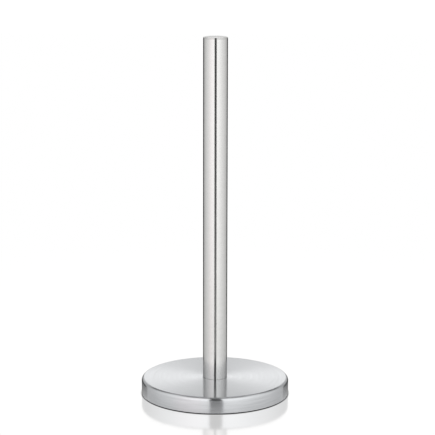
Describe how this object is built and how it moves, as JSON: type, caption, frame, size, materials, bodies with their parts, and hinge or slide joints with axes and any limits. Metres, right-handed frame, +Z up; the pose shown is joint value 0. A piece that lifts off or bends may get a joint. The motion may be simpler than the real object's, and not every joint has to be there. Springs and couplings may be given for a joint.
{
  "type": "paper towel holder",
  "caption": "Free-standing holder for a roll of kitchen paper: a smooth upright steel pole on a round weighted steel foot with a non-slip ring underneath.",
  "frame": {"origin": "on the pole's axis, level with the surface that the holder stands on", "axes": "+Z up along the pole; the holder is round, so X and Y are free"},
  "size_m": [0.14, 0.14, 0.34],
  "materials": {
    "foot_steel": "stainless, circular brushing, satin",
    "pole_steel": "stainless, very fine brushing round the tube, close to polished",
    "cap_steel": "stainless, faced on a lathe, satin",
    "cast_weight": "sand-cast, black dip coat",
    "plate_paint": "fine-textured black powder coat",
    "ring_rubber": "matte moulded rubber with fine round grooves",
    "zinc_steel": "bright zinc plate",
    "plug_steel": "turned, uncoated"
  },
  "bodies": {
    "root": {"base_shell": "foot_steel", "ballast_disc": "cast_weight", "base_plate": "plate_paint", "non_slip_ring": "ring_rubber", "plate_screw_1": "zinc_steel", "plate_screw_2": "zinc_steel", "plate_screw_3": "zinc_steel", "plate_screw_4": "zinc_steel", "clamp_screw": "zinc_steel", "spring_washer": "zinc_steel", "flat_washer": "zinc_steel", "threaded_plug": "plug_steel", "pole_tube": "pole_steel", "pole_cap": "cap_steel"}
  },
  "joints": []
}
